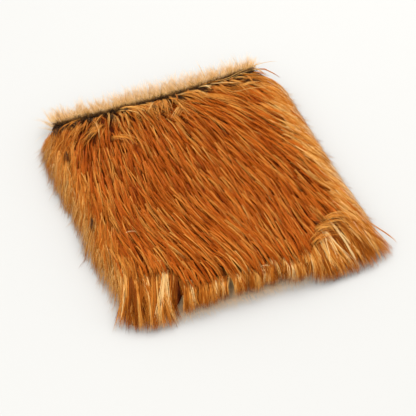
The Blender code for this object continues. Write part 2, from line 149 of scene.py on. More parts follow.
def alongIn(y):
    return np.clip(alongOf(y), 0, 1)


def acrossOf(x):
    return (x - tubeX) / halfWidth


def edgesAt(along):
    return (tubeX - halfWidth * sectionValue(along, "left"),
            tubeX + halfWidth * sectionValue(along, "right"))


def skewOf(x, y):  # the face rim runs further forward on the right
    return mane["faceSkew"] / 2 * acrossOf(x) * (1 - alongIn(y))


def rimAt(x):  # the rim's dark line, before the skew
    return faceY - np.interp(acrossOf(x), *rimSag)


def smoothStep(low, high, value):
    t = np.clip((value - low) / (high - low), 0, 1)
    return t * t * (3 - 2 * t)


def archAt(x, along):
    left, right = edgesAt(along)
    share = (2 * x - left - right) / (right - left)
    return mane["neckArch"] * sectionValue(along, "arch") * np.maximum(0, 1 - share**2) ** 2


def combLean(x, y):
    across, along = acrossOf(x), alongOf(y)
    apart = (across[..., None] - comb[:, 0]) ** 2 + (2 * (along[..., None] - comb[:, 1])) ** 2
    weight = (apart + 0.02) ** -1.5
    return np.radians((weight * comb[:, 2]).sum(-1) / weight.sum(-1))


def clothTop(x, y):
    return centreZ + outerRadius + archAt(x, alongIn(y))


def pileDepth(x, y):
    along = alongIn(y)
    depth = sectionValue(along, "pile")
    for across, down, width, amount in dents:
        apartX = x - tubeX - across * halfWidth
        apartY = (along - down) * tubeLength
        depth = depth - amount * np.exp(-(apartX**2 + apartY**2) / (2 * width * halfWidth) ** 2)
    return mane["topPile"] * depth


def drapeHeight(x, y):  # the pile's outer surface, over the cloth and then down to the floor
    left, right = edgesAt(alongIn(y))
    shoulder = mane["sideShoulder"]
    outside = np.maximum(np.maximum(left + shoulder - x, x - right + shoulder), 0)
    shareX = outside / (shoulder + mane["sideSpread"])
    corner = smoothStep(0.35, 0.85, np.abs(x - tubeX) / halfWidth)
    start = neckY + corner * mane["neckShoulder"]
    shareY = np.maximum(0, start - y) / mane["neckReach"]
    fall = np.sqrt(np.maximum(0, 1 - shareX**2 - shareY**2))
    return np.maximum(mane["floorGap"], (clothTop(x, y) + pileDepth(x, y)) * fall)


def underneath(x, y):  # the lowest that a hair may lie: on the cloth, or on the floor beside it
    along = alongOf(y)
    left, right = edgesAt(np.clip(along, 0, 1))
    over = (x > left) & (x < right) & (along > -0.02) & (along < 1.02)
    return np.where(over, clothTop(x, y) + 0.0006, mane["floorGap"])


def softNoise(x, y, size, seed):  # slow waves over the pile, from -1 to 1
    waves = np.random.default_rng(seed)
    total = 0
    for i in range(6):
        turn, phase = waves.uniform(0, math.tau), waves.uniform(0, math.tau)
        length = size * waves.uniform(0.6, 1.5)
        total = total + np.sin((x * math.cos(turn) + y * math.sin(turn)) * math.tau / length + phase)
    return total / 3.2


def ripple(x, size, seed):  # the same, along one rim
    return softNoise(x, 0 * x, size, seed)


def placeNew(name, data):
    made = bpy.data.objects.new(name, data)
    bpy.context.scene.collection.objects.link(made)
    return made


# the camera, at the photograph's angle
view = {"azimuth": -21.43, "elevation": 45.0, "distance": 1.532, "lens": 100.0,
        "aside": -0.0134, "ahead": -0.0617, "height": 0.02}


def makeCamera():
    cameraData = bpy.data.cameras.new("camera")
    cameraData.lens, cameraData.sensor_width = view["lens"], 36.0
    camera = placeNew("camera", cameraData)
    turn, rise = math.radians(view["azimuth"]), math.radians(view["elevation"])
    back = Vector((math.sin(turn) * math.cos(rise), -math.cos(turn) * math.cos(rise), math.sin(rise)))
    target = Vector((tubeX + view["aside"], tubeY + view["ahead"], view["height"]))
    camera.location = target + back * view["distance"]
    camera.rotation_euler = (-back).to_track_quat("-Z", "Y").to_euler()
    bpy.context.scene.camera = camera


light = {"world": 1.26, "keyPower": 20.0, "keySize": 1.6, "fillPower": 11.0, "fillSize": 2.0,
         "floorColour": (0.575, 0.57, 0.555)}


def makeLight(name, place, target, size, power):
    lamp = bpy.data.lights.new(name, "AREA")
    lamp.shape, lamp.size, lamp.energy = "DISK", size, power
    lampObject = placeNew(name, lamp)
    lampObject.location = place
    lampObject.rotation_euler = (Vector(target) - Vector(place)).to_track_quat("-Z", "Y").to_euler()


def makeStudio():
    world = bpy.data.worlds.new("studio")
    bpy.context.scene.world = world
    world.use_nodes = True
    background = world.node_tree.nodes["Background"]
    background.inputs["Color"].default_value = (1.0, 1.0, 0.99, 1)
    background.inputs["Strength"].default_value = light["world"]
    makeLight("keyLight", (0.9, 0.9, 1.9), (0, 0, 0), light["keySize"], light["keyPower"])
    makeLight("fillLight", (-1.1, -1.0, 1.6), (0, 0, 0), light["fillSize"], light["fillPower"])
    shape = bmesh.new()
    bmesh.ops.create_grid(shape, x_segments=1, y_segments=1, size=6)
    mesh = bpy.data.meshes.new("floor")
    shape.to_mesh(mesh)
    shape.free()
    material = bpy.data.materials.new("paleFloor")
    material.use_nodes = True
    shader = material.node_tree.nodes["Principled BSDF"]
    shader.inputs["Base Color"].default_value = (*light["floorColour"], 1)
    shader.inputs["Roughness"].default_value = 0.9
    shader.inputs["Specular IOR Level"].default_value = 0.1
    mesh.materials.append(material)
    placeNew("floor", mesh)
    bpy.context.scene.view_settings.view_transform = "Standard"


makeCamera()
makeStudio()
print("camera, lights and floor")


# materials

hairTones = {  # along the tone scale, from dark to light
    "rust": [(0.0, (0.23, 0.03, 0.001)), (0.28, (0.45, 0.08, 0.003)), (0.52, (0.64, 0.16, 0.013)),
             (0.76, (0.72, 0.335, 0.062)), (1.0, (0.88, 0.6, 0.24))],
    "golden": [(0.0, (0.2, 0.04, 0.002)), (0.28, (0.44, 0.11, 0.007)), (0.52, (0.66, 0.23, 0.028)),
               (0.78, (0.82, 0.43, 0.105)), (1.0, (0.94, 0.69, 0.33))],
    "pale": [(0.0, (0.33, 0.15, 0.028)), (0.35, (0.64, 0.34, 0.08)), (0.65, (0.9, 0.56, 0.21)),
             (1.0, (0.98, 0.76, 0.47))],
    "dark": [(0.0, (0.016, 0.008, 0.004)), (0.6, (0.06, 0.028, 0.012)), (1.0, (0.3, 0.13, 0.03))],
}
hairEnds = {"root": (0.05, 0.018, 0.005), "tan": (0.34, 0.15, 0.035), "gold": (0.9, 0.54, 0.18),
            "peach": (0.99, 0.76, 0.54)}


def rampNode(tree, stops, source):
    node = tree.nodes.new("ShaderNodeValToRGB")
    for element, (place, colour) in zip(node.color_ramp.elements, (stops[0], stops[-1])):
        element.position, element.color = place, (*colour, 1)
    for place, colour in stops[1:-1]:
        node.color_ramp.elements.new(place).color = (*colour, 1)
    tree.links.new(source, node.inputs["Fac"])
    return node.outputs["Color"]


def rangeNode(tree, source, fromLow, fromHigh):
    node = tree.nodes.new("ShaderNodeMapRange")
    node.interpolation_type = "SMOOTHSTEP"
    for socket, value in zip(("From Min", "From Max"), (fromLow, fromHigh)):
        node.inputs[socket].default_value = value
    tree.links.new(source, node.inputs["Value"])
    return node.outputs["Result"]


def mathNode(tree, operation, first, second):
    node = tree.nodes.new("ShaderNodeMath")
    node.operation = operation
    for socket, value in zip(node.inputs, (first, second)):
        if isinstance(value, (int, float)):
            socket.default_value = value
        else:
            tree.links.new(value, socket)
    return node.outputs["Value"]


def mixNode(tree, share, first, second, blend="MIX"):
    node = tree.nodes.new("ShaderNodeMix")
    node.data_type, node.blend_type = "RGBA", blend
    for socket, value in zip((node.inputs[0], node.inputs[6], node.inputs[7]), (share, first, second)):
        if isinstance(value, (int, float)):
            socket.default_value = value
        elif isinstance(value, tuple):
            socket.default_value = (*value, 1)
        else:
            tree.links.new(value, socket)
    return node.outputs[2]


def roughen(tree, shader, height, strength, distance, roughness):  # a dull finish with bump
    bump = tree.nodes.new("ShaderNodeBump")
    bump.inputs["Strength"].default_value = strength
    bump.inputs["Distance"].default_value = distance
    tree.links.new(height, bump.inputs["Height"])
    tree.links.new(bump.outputs["Normal"], shader.inputs["Normal"])
    shader.inputs["Roughness"].default_value = roughness
    shader.inputs["Specular IOR Level"].default_value = 0.1


def hairMaterial(name, tones="rust", tip="gold", rootEnd=0.16, tipStart=0.62, toneStart=0.55, root="root"):
    # the hair's own map: tone across it, and root to tip along it
    material = bpy.data.materials.new(name)
    material.use_nodes = True
    tree = material.node_tree
    shader = tree.nodes["Principled BSDF"]
    uvMap = tree.nodes.new("ShaderNodeUVMap")
    uvMap.uv_map = "hairMap"
    parts = tree.nodes.new("ShaderNodeSeparateXYZ")
    tree.links.new(uvMap.outputs["UV"], parts.inputs["Vector"])
    tone, along = parts.outputs["X"], parts.outputs["Y"]
    body = rampNode(tree, hairTones[tones], tone)
    paleTone, paleEnd = rangeNode(tree, tone, toneStart, 1.0), rangeNode(tree, along, tipStart, 1.0)
    paleness = mathNode(tree, "MULTIPLY", paleTone, paleEnd)
    pale = mixNode(tree, paleness, body, hairEnds[tip])
    colour = mixNode(tree, rangeNode(tree, along, 0.02, rootEnd), hairEnds[root], pale)
    tree.links.new(colour, shader.inputs["Base Color"])
    shader.inputs["Roughness"].default_value = 0.5
    shader.inputs["Specular IOR Level"].default_value = 0.18
    shader.inputs["Specular Tint"].default_value = (1.0, 0.62, 0.3, 1)
    return material


# hairs: closed, three-sided and pointed, many in one mesh

hairSides = 3


def acrossHair(ahead, overall):  # one side direction a ring, carried along without a twist
    side = np.cross(overall, np.array([0.05, 0.0, 1.0]))
    sides = []
    for ring in range(ahead.shape[1]):
        heading = ahead[:, ring]
        side = side - heading * (side * heading).sum(-1, keepdims=True)
        side = side / (np.linalg.norm(side, axis=-1, keepdims=True) + 1e-12)
        sides.append(side)
    return np.stack(sides, axis=1)


def joinHairs(name, paths, widths, tones, material):
    # paths run from root to tip, as hair, point, place; the few hairs that fly out are left off
    low, high = np.array(cadBox[0][:2]) - mane["spare"], np.array(cadBox[1][:2]) + mane["spare"]
    inside = ((paths[..., :2] > low) & (paths[..., :2] < high)).all(axis=(1, 2))
    paths, widths, tones = paths[inside], widths[inside], tones[inside]
    count, points, _ = paths.shape
    rings = points - 1
    ahead = np.gradient(paths, axis=1)
    ahead /= np.linalg.norm(ahead, axis=2, keepdims=True) + 1e-12
    side = acrossHair(ahead, paths[:, -1] - paths[:, 0])
    lift = np.cross(side, ahead)
    turns = math.tau * (np.arange(hairSides) / hairSides + 0.25)
    around = np.cos(turns)[:, None] * side[:, :rings, None]
    around = around + 0.8 * np.sin(turns)[:, None] * lift[:, :rings, None]
    ringPoints = paths[:, :rings, None] + widths[:, :rings, None, None] / 2 * around
    places = np.concatenate([ringPoints.reshape(count, rings * hairSides, 3), paths[:, -1:]], axis=1)
    places[..., 2] = np.maximum(places[..., 2], 0.0002)
    faces, marks = [], []  # marks are each corner's share around and along
    for ring in range(rings - 1):
        for i in range(hairSides):
            j = (i + 1) % hairSides
            low, high = ring * hairSides, (ring + 1) * hairSides
            faces += [(low + i, high + j, low + j), (low + i, high + i, high + j)]
            marks += [((i, ring), (i + 1, ring + 1), (i + 1, ring)),
                      ((i, ring), (i, ring + 1), (i + 1, ring + 1))]
    tip, last = rings * hairSides, (rings - 1) * hairSides
    for i in range(hairSides):
        faces.append((last + i, tip, last + (i + 1) % hairSides))
        marks.append(((i, rings - 1), (i + 0.5, rings), (i + 1, rings - 1)))
    faces.append(tuple(range(hairSides)))
    marks.append(((0, 0), (1.5, 0.1), (3, 0)))
    faces, marks = np.array(faces), np.array(marks, float)
    perHair = rings * hairSides + 1
    allFaces = (faces[None] + perHair * np.arange(count)[:, None, None]).reshape(-1)
    mesh = bpy.data.meshes.new(name)
    mesh.vertices.add(count * perHair)
    mesh.vertices.foreach_set("co", places.astype(np.float32).ravel())
    total = count * len(faces)
    mesh.loops.add(total * 3)
    mesh.loops.foreach_set("vertex_index", allFaces.astype(np.int32))
    mesh.polygons.add(total)
    mesh.polygons.foreach_set("loop_start", np.arange(0, total * 3, 3, dtype=np.int32))
    mesh.polygons.foreach_set("use_smooth", np.ones(total, dtype=bool))
    uv = np.empty((count, len(faces), 3, 2), np.float32)
    band = 0.012
    uv[..., 0] = np.clip(tones, 0.01, 0.97)[:, None, None] + band * (marks[None, ..., 0] / hairSides)
    uv[..., 1] = 0.01 + 0.98 * marks[None, ..., 1] / rings
    mesh.uv_layers.new(name="hairMap").data.foreach_set("uv", uv.ravel())
    mesh.update(calc_edges=True)
    mesh.materials.append(material)
    return placeNew(name, mesh)


def fallColumn(x, column):  # a column of the falls table, at a place across the mane
    return np.interp(acrossOf(x), falls[:, 0], falls[:, column])


def creaseY(x):
    ragged = 0.0035 * ripple(x, 0.03, 41) + 0.003 * ripple(x, 0.009, 42)
    return faceY - fallColumn(x, 1) * tubeLength + ragged


def tracePile(x, y, heading, length, steps):
    # guide lines over the pile's surface; heading gives each step's lean to the right
    x, y = np.array(x, float), np.array(y, float)
    line = []
    for i in range(steps + 1):
        z = drapeHeight(x, y)
        line.append(np.stack([x, y, z], axis=-1))
        lean = heading(i / steps, x, y)
        slope = (drapeHeight(x + 0.001 * np.sin(lean), y - 0.001 * np.cos(lean)) - z) / 0.001
        run = length / steps / np.hypot(1, np.clip(slope, -3, 3))
        x, y = x + np.sin(lean) * run, y - np.cos(lean) * run
    return np.stack(line, axis=1)


def followComb(turn, wave, phase):
    return lambda share, x, y: combLean(x, y) + turn + wave * np.sin(phase + 4.2 * share)


def clearHollows(lines):  # False for wisps that would cover one of the dark openings
    keep = np.ones(len(lines), bool)
    for across, down, size in hollows:
        centre = np.array([tubeX + across * halfWidth, faceY - down * tubeLength])
        apart = np.linalg.norm(lines[:, 3:, :2] - centre, axis=-1).min(-1)
        keep &= between(0, 1, lines) > np.exp(-((apart / size) ** 2))
    return keep


def pickAlong(guides, owner, place):  # places between the points of each hair's guide line
    before = np.minimum(place.astype(int), guides.shape[1] - 2)
    part = (place - before)[..., None]
    return guides[owner[:, None], before] * (1 - part) + guides[owner[:, None], before + 1] * part


def growHairs(guides, perWisp, spread, shares, sink, rise=0.2, gather=0.35, curl=0.0016, loose=0.0008,
              limit=1.0):
    # hairs round each guide line: spread at the root, gathered at the tip
    wisps, steps = guides.shape[0], guides.shape[1] - 1
    owner = np.repeat(np.arange(wisps), perWisp)
    count, shares = len(owner), np.array(shares)
    reach = chance.uniform(0.8, 1.04, count)
    reach = np.minimum(reach, np.broadcast_to(limit, wisps)[owner] * chance.uniform(0.93, 1.0, count))
    place = np.clip(shares[None] * reach[:, None], 0, 1) * steps
    lines = pickAlong(guides, owner, place)
    ahead = np.gradient(lines[..., :2], axis=1)
    ahead /= np.linalg.norm(ahead, axis=2, keepdims=True) + 1e-12
    across = np.stack([-ahead[..., 1], ahead[..., 0]], axis=-1)
    profile = 1 - gather * smoothStep(0.1, 1.0, shares)
    aside = chance.normal(0, 1, count) * np.broadcast_to(spread, wisps)[owner]
    shift = aside[:, None] * profile + chance.normal(0, curl, count)[:, None] * shares**2
    lines[..., :2] += across * shift[..., None]
    sinks = np.broadcast_to(sink, wisps)[owner] + np.abs(chance.normal(0, 0.0009, count))
    bottom = underneath(lines[..., 0], lines[..., 1])
    risen = 1 - (1 - np.clip(shares / rise, 0, 1)) ** 2
    surface = lines[..., 2] - sinks[:, None] - 0.002 * shares**3
    surface = surface + chance.normal(0, loose, count)[:, None] * shares**2
    lines[..., 2] = np.maximum(bottom[:, :1] + (surface - bottom[:, :1]) * risen, bottom)
    return lines, owner


def taper(count, shares, width, tipWidth=0.25):
    shares = np.array(shares)
    shape = 0.75 + 0.25 * smoothStep(0, 0.2, shares) - (1 - tipWidth) * smoothStep(0.45, 1.0, shares)
    return width * chance.uniform(0.75, 1.25, count)[:, None] * np.maximum(shape, 0.1)


def dress(piece, node):
    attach(piece, "root")
    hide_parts(node)
    print(piece.name, len(piece.data.polygons), "faces")


def hairPiece(name, paths, widths, tones, material, node="mane_fur_top"):
    dress(joinHairs(name, paths, widths, tones, material), node)


# the long pile on the upper wall

topPile = {"pitchAcross": 0.0045, "pitchAlong": 0.0072, "perWisp": 5, "shares": [0, 0.15, 0.42, 0.71, 1.0],
           "spread": 0.00062, "width": 0.0007, "sway": 3.5, "wave": 6.0, "rimSway": 16.0, "deepest": 0.0075,
           "pastCrease": 0.0045}


def wispRoots(alongLow, alongHigh, pitchAcross, pitchAlong):
    rows = max(1, round((alongHigh - alongLow) * tubeLength / pitchAlong))
    xs, ys = [], []
    for row in range(rows):
        along = alongLow + (alongHigh - alongLow) * (row + 0.5) / rows
        left, right = (float(v) for v in edgesAt(along))
        columns = round((right - left) / pitchAcross)
        x = left + (right - left) * (np.arange(columns) + 0.5 * (row % 2)) / columns
        x = x + chance.uniform(-0.5, 0.5, columns) * pitchAcross
        y = faceY - along * tubeLength + chance.uniform(-0.5, 0.5, columns) * pitchAlong
        xs.append(x)
        ys.append(np.minimum(y, rimAt(x) - chance.uniform(0, 0.003, columns)) + skewOf(x, y))
    return np.concatenate(xs), np.concatenate(ys)


def edgeGlow(x, y):  # 1 at the sides, where the pile turns golden, and more so on the right
    left, right = edgesAt(alongIn(y))
    return np.maximum(0.45 * smoothStep(0.012, -0.012, x - left), smoothStep(0.036, -0.008, right - x))


def stopAt(guides, margin):  # the share of each guide line above the crease
    past = guides[:, :, 1] < creaseY(guides[:, :, 0]) - margin[:, None]
    steps = guides.shape[1] - 1
    return np.where(past.any(1), past.argmax(1) / steps, 1.0)


def makeTopPile(name, alongLow, alongHigh, material):
    x, y = wispRoots(alongLow, alongHigh, topPile["pitchAcross"], topPile["pitchAlong"])
    unruly = smoothStep(0.14, 0.0, alongOf(y))
    sway = np.radians(topPile["sway"] + (topPile["rimSway"] - topPile["sway"]) * unruly)
    turn = sway * (0.8 * softNoise(x, y, 0.05, 3) + 0.7 * vary(1, x))
    length = mane["hair"] * between(0.86, 1.06, x)
    wave = np.radians(topPile["wave"]) * vary(1, x) * (1 + unruly)
    guides = tracePile(x, y, followComb(turn, wave, between(0, math.tau, x)), length, 16)
    limit = stopAt(guides, 0.004 + topPile["pastCrease"] * vary(1, x))
    keep = clearHollows(guides) & (limit > 0.3)
    x, y, guides, limit = x[keep], y[keep], guides[keep], limit[keep]
    sink = topPile["deepest"] * between(0, 1, x) ** 1.5
    sink = np.where(limit < 1, 0.5 * sink, sink)  # the ends lie over the hair that falls from the rim
    paths, owner = growHairs(guides, topPile["perWisp"], topPile["spread"], topPile["shares"], sink,
                             limit=limit)
    glow = edgeGlow(guides[:, -5, 0], guides[:, -5, 1]) * (0.4 + 0.6 * smoothStep(0.02, 0.3, alongOf(y)))
    rim = 0.04 * smoothStep(0.1, 0.0, alongOf(y))
    tone = 0.48 + 0.145 * vary(1, x) + 0.05 * softNoise(x, y, 0.04, 5) + 0.26 * glow + rim
    # painted shade: wisps that lie deeper are painted darker, less so where the pile turns golden
    tone = np.minimum(tone - 0.22 * sink / topPile["deepest"] * (1 - 0.5 * glow), 0.68 + 0.26 * glow + rim)
    tones = tone[owner] + vary(0.07, owner)
    widths = taper(len(owner), topPile["shares"], topPile["width"])
    hairPiece(name, paths, widths, tones, material)


longPile = hairMaterial("longPile", rootEnd=0.2)
makeTopPile("rimPile", 0.0, 0.34, hairMaterial("rimPileHair", rootEnd=0.38))
makeTopPile("middlePile", 0.34, 0.67, longPile)
makeTopPile("neckPile", 0.67, 1.0, longPile)
print("long pile")

# the dense pile under the hairs, its dark colour partly the roots' own and partly painted shade of the pile's
# depth

bed = {"across": 64, "along": 72, "sink": 0.0085, "skirt": 0.012, "corner": 0.027}


def bedMaterial():
    material = bpy.data.materials.new("pileBed")
    material.use_nodes = True
    tree = material.node_tree
    shader = tree.nodes["Principled BSDF"]
    coords = tree.nodes.new("ShaderNodeTexCoord")
    mapping = tree.nodes.new("ShaderNodeMapping")
    mapping.inputs["Scale"].default_value = (620, 36, 120)
    mapping.inputs["Rotation"].default_value = (0, 0, math.radians(-8))
    tree.links.new(coords.outputs["Object"], mapping.inputs["Vector"])
    streaks = tree.nodes.new("ShaderNodeTexNoise")
    streaks.inputs["Scale"].default_value = 1.0
    streaks.inputs["Detail"].default_value = 4.0
    tree.links.new(mapping.outputs["Vector"], streaks.inputs["Vector"])
    # dark rust streaks: the roots' own colour, darkened further as painted shade of the depth between the hairs
    stops = [(0.3, (0.03, 0.007, 0.002)), (0.5, (0.12, 0.02, 0.003)), (0.72, (0.33, 0.06, 0.006))]
    tree.links.new(rampNode(tree, stops, streaks.outputs["Fac"]), shader.inputs["Base Color"])
    roughen(tree, shader, streaks.outputs["Fac"], 0.8, 0.002, 0.8)
    return material


def makeSlab(name, across, along, placeAt, material):
    # a closed slab over a grid of shares; placeAt gives the points of its top and of its underside
    shape = bmesh.new()
    bmesh.ops.create_grid(shape, x_segments=across, y_segments=along, size=0.5)
    first = list(shape.verts)
    made = bmesh.ops.extrude_face_region(shape, geom=list(shape.faces))
    second = [item for item in made["geom"] if isinstance(item, bmesh.types.BMVert)]
    for group, isTop in ((second, True), (first, False)):
        share = np.array([(v.co.x + 0.5, 0.5 - v.co.y) for v in group])
        for vert, place in zip(group, zip(*placeAt(share[:, 0], share[:, 1], isTop))):
            vert.co = place
    bmesh.ops.recalc_face_normals(shape, faces=shape.faces)
    mesh = bpy.data.meshes.new(name)
    shape.to_mesh(mesh)
    shape.free()
    mesh.shade_smooth()
    mesh.materials.append(material)
    return placeNew(name, mesh)


def bedPlace(shareX, shareY, isTop):
    corner = smoothStep(0.5, 0.7, np.abs(np.sin((shareX - 0.5) * math.pi)))
    y = faceY - 0.0008 - shareY * (tubeLength + 0.0026 + bed["corner"] * corner)
    left, right = edgesAt(alongIn(y))
    middle, half = (left + right) / 2, (right - left) / 2 + bed["skirt"]
    x = middle + half * np.sin((shareX - 0.5) * math.pi)
    lowest = underneath(x, y)
    z = np.maximum(drapeHeight(x, y) - bed["sink"], lowest + 0.0008) if isTop else lowest
    return x, y + skewOf(x, y), z


pileBed = makeSlab("pileBed", bed["across"], bed["along"], bedPlace, bedMaterial())
dress(pileBed, "mane_fur_top")
print("pile bed")

# the hair that falls over the side folds, and the fine pale hair at its outline

sidePile = {"pitch": 0.0015, "rows": 4, "perWisp": 4, "shares": [0, 0.2, 0.45, 0.72, 1.0], "spread": 0.0009,
            "width": 0.00065, "leftLean": 9.0, "rightLean": 17.0, "sway": 8.0, "deepest": 0.009}
outline = {"pitch": 0.001, "rows": 4, "perWisp": 2, "shares": [0, 0.35, 0.7, 1.0], "spread": 0.0009,
           "width": 0.00034, "lean": 30.0, "sway": 12.0, "deepest": 0.01, "length": 0.052}


def sideRoots(settings, side, insetLow, insetHigh):
    count = round(tubeLength / settings["pitch"])
    along = np.tile((np.arange(count) + 0.5) / count, settings["rows"])
    along = along + between(-0.01, 0.01, along)
    left, right = edgesAt(np.clip(along, 0, 1))
    inset = between(insetLow, insetHigh, along)
    x = right - inset if side > 0 else left + inset
    y = faceY - along * tubeLength
    return x, np.minimum(y, rimAt(x) - 0.001) + skewOf(x, y)


def makeSidePile(name, side, material):
    x, y = sideRoots(sidePile, side, -0.004, 0.022)
    lean = sidePile["rightLean"] if side > 0 else -sidePile["leftLean"]
    turn = np.radians(lean * between(0.2, 1.5, x) + sidePile["sway"] * vary(1, x))
    length = mane["hair"] * between(0.7, 1.0, x)
    wave = np.radians(7) * vary(1, x)
    guides = tracePile(x, y, followComb(turn, wave, between(0, math.tau, x)), length, 16)
    keep = clearHollows(guides)
    x, y, guides = x[keep], y[keep], guides[keep]
    sink = sidePile["deepest"] * between(0, 1, x) ** 1.4
    paths, owner = growHairs(guides, sidePile["perWisp"], sidePile["spread"], sidePile["shares"], sink,
                             gather=0.5, curl=0.0022, loose=0.0016)
    # painted shade: wisps that lie deeper are painted darker
    tone = (0.6 if side > 0 else 0.5) + 0.14 * vary(1, x) - 0.26 * sink / sidePile["deepest"]
    tone = tone + 0.07 * softNoise(x, y, 0.04, 9) - 0.16 * smoothStep(0.06, 0.0, alongOf(y))
    if side < 0:  # the left pile turns golden only at its outline
        tone = tone - 0.12 * smoothStep(0.0, 0.014, x - edgesAt(alongIn(y))[0])
    tones = tone[owner] + vary(0.07, owner)
    widths = taper(len(owner), sidePile["shares"], sidePile["width"], tipWidth=0.15)
    hairPiece(name, paths, widths, tones, material)


def makeOutline(name, side, material):
    x, y = sideRoots(outline, side, -0.01, 0.004)
    lean = side * outline["lean"] * between(0.2, 1.4, x) * (1 if side > 0 else 0.6)
    turn = np.radians(lean + outline["sway"] * vary(1, x))
    length = outline["length"] * between(0.6, 1.0, x)
    wave = np.radians(10) * vary(1, x)
    guides = tracePile(x, y, followComb(turn, wave, between(0, math.tau, x)), length, 12)
    sink = outline["deepest"] * between(-0.05, 1, x)
    paths, owner = growHairs(guides, outline["perWisp"], outline["spread"], outline["shares"], sink,
                             gather=0.3, curl=0.003, loose=0.003)
    tones = (0.88 if side > 0 else 0.72) + 0.12 * vary(1, owner)
    widths = taper(len(owner), outline["shares"], outline["width"], tipWidth=0.2)
    hairPiece(name, paths, widths, tones, material)


sideHair = hairMaterial("sideHair", tones="golden", rootEnd=0.24, tipStart=0.6)
fineHair = hairMaterial("fineHair", tones="pale", tip="peach", rootEnd=0.1, tipStart=0.3)
makeSidePile("leftPile", -1, sideHair)
makeSidePile("rightPile", 1, sideHair)
makeOutline("leftOutline", -1, hairMaterial("fineGold", tones="golden", rootEnd=0.1, tipStart=0.4))
makeOutline("rightOutline", 1, fineHair)
print("side pile")

# the hair that falls from the neck rim, and over the near corners

neckFall = {"pitch": 0.001, "rows": 3, "perWisp": 5, "shares": [0, 0.2, 0.42, 0.64, 0.83, 1.0],
            "spread": 0.0011, "width": 0.00072, "sway": 6.0, "lock": 0.0075, "deepest": 0.0065, "hidden": 0.015,
            "buried": 0.0045, "slots": -0.66}
locks = [  # bright locks over the falling hair, and dark wisps painted as the shade in the gaps between them: across, width, tone, wisps
    (-0.67, 0.002, 0.94, 5), (-0.83, 0.0018, 0.78, 4), (-0.97, 0.0022, 0.74, 4), (-0.36, 0.0016, 0.86, 3),
    (-0.3, 0.0012, 0.84, 3), (0.05, 0.0018, 0.88, 4), (0.14, 0.0014, 0.88, 3), (0.24, 0.0014, 0.8, 3),
    (0.6, 0.0018, 0.78, 4), (0.665, 0.0024, 0.96, 6), (0.745, 0.0022, 0.92, 5), (0.92, 0.0028, 0.76, 5),
    # the darkest wisps from here on are painted shade in the gaps between the locks
    (-0.905, 0.001, 0.02, 9), (-0.605, 0.0009, 0.02, 6), (-0.56, 0.001, 0.1, 5), (-0.26, 0.0016, 0.02, 5),
    (-0.07, 0.0008, 0.02, 4), (0.045, 0.0007, 0.05, 4), (0.13, 0.0007, 0.05, 4), (0.555, 0.001, 0.05, 6),
    (0.705, 0.001, 0.05, 6), (0.8, 0.001, 0.05, 5), (0.85, 0.0012, 0.12, 6),
]


def fallGuides(x, y, sink):  # hair bends over the rim in a quarter of an ellipse
    reach = fallColumn(x, 3) * between(0.82, 1.05, x)
    most = creaseY(x) - cadBox[0][1] + 0.8 * mane["spare"]
    reach = np.minimum(reach, most * between(0.95, 1.02, x))
    corner = smoothStep(0.014, 0.055, reach)
    lock = ripple(x, neckFall["lock"], 31)
    lean = np.radians(fallColumn(x, 2) + neckFall["sway"] * (0.9 * lock + 0.5 * vary(1, x)))
    bend = np.radians(8) * vary(1, x)
    low = between(0.0006, 0.003, x) + (1 - corner) * between(0.005, 0.013, x)
    high = drapeHeight(x, y) - sink
    turns = np.linspace(0, math.pi / 2, 17)
    run = (reach + y - creaseY(x))[:, None] * np.sin(turns)
    heading = lean[:, None] + bend[:, None] * np.sin(turns)
    drop = (1 - np.cos(turns)) ** (1 - 0.15 * corner[:, None])
    height = low[:, None] + (high - low)[:, None] * (1 - drop)
    emerge = (y - creaseY(x) + 0.004) / (reach + y - creaseY(x))  # the share of it under the top pile
    risen = smoothStep(0.15, 1.0, np.sin(turns) / np.minimum(emerge, 0.55)[:, None])
    buried = neckFall["buried"] * (1 - risen)
    return np.stack([x[:, None] + run * np.sin(heading), y[:, None] - run * np.cos(heading),
                     np.maximum(height - buried, 0.001)], axis=-1)


def makeNeckFall(material):
    wide = 0.99 * halfWidth
    count = round(2 * wide / neckFall["pitch"])
    x = np.tile(tubeX - wide + 2 * wide * (np.arange(count) + 0.5) / count, neckFall["rows"])
    x = x + between(-0.5, 0.5, x) * neckFall["pitch"]
    row = np.repeat(np.arange(neckFall["rows"]), count)
    sink = 0.0014 + neckFall["deepest"] * (row / neckFall["rows"] + between(0, 0.4, x))
    # painted shade: the lower rows are painted darker, and show as dark gaps between the locks
    tone = 0.55 + 0.16 * vary(1, x) - 0.18 * row
    tone = tone + 0.11 * ripple(x, neckFall["lock"], 31)
    slot = (ripple(x, 0.008, 33) < neckFall["slots"]) & (row < 2)  # dark gaps between the locks
    x, sink, tone = x[~slot], sink[~slot], tone[~slot]
    for across, width, lockTone, wisps in locks:
        x = np.append(x, tubeX + across * halfWidth + chance.normal(0, width, wisps))
        sink = np.append(sink, chance.uniform(0.0005, 0.002, wisps))
        tone = np.append(tone, lockTone + chance.normal(0, 0.04, wisps))
    y = creaseY(x) + neckFall["hidden"] * between(0.5, 1.2, x)
    guides = fallGuides(x, y, sink)
    keep = clearHollows(guides)
    guides, tone = guides[keep], tone[keep]
    owner = np.repeat(np.arange(len(guides)), neckFall["perWisp"])
    shares = np.array(neckFall["shares"])
    place = np.clip(shares[None] * between(0.88, 1.0, owner)[:, None], 0, 1) * 16
    paths = pickAlong(guides, owner, place)
    aside = vary(neckFall["spread"], owner)[:, None] * (1 - 0.6 * shares)
    paths[..., 0] += aside + vary(0.002, owner)[:, None] * shares**2
    paths[..., 1] += vary(0.0012, owner)[:, None] * shares
    paths[..., 2] = np.maximum(paths[..., 2] - np.abs(vary(0.0008, owner))[:, None], 0.0006)
    tones = tone[owner] + vary(0.07, owner)
    widths = taper(len(owner), shares, neckFall["width"], tipWidth=0.15)
    hairPiece("neckFall", paths, widths, tones, material)


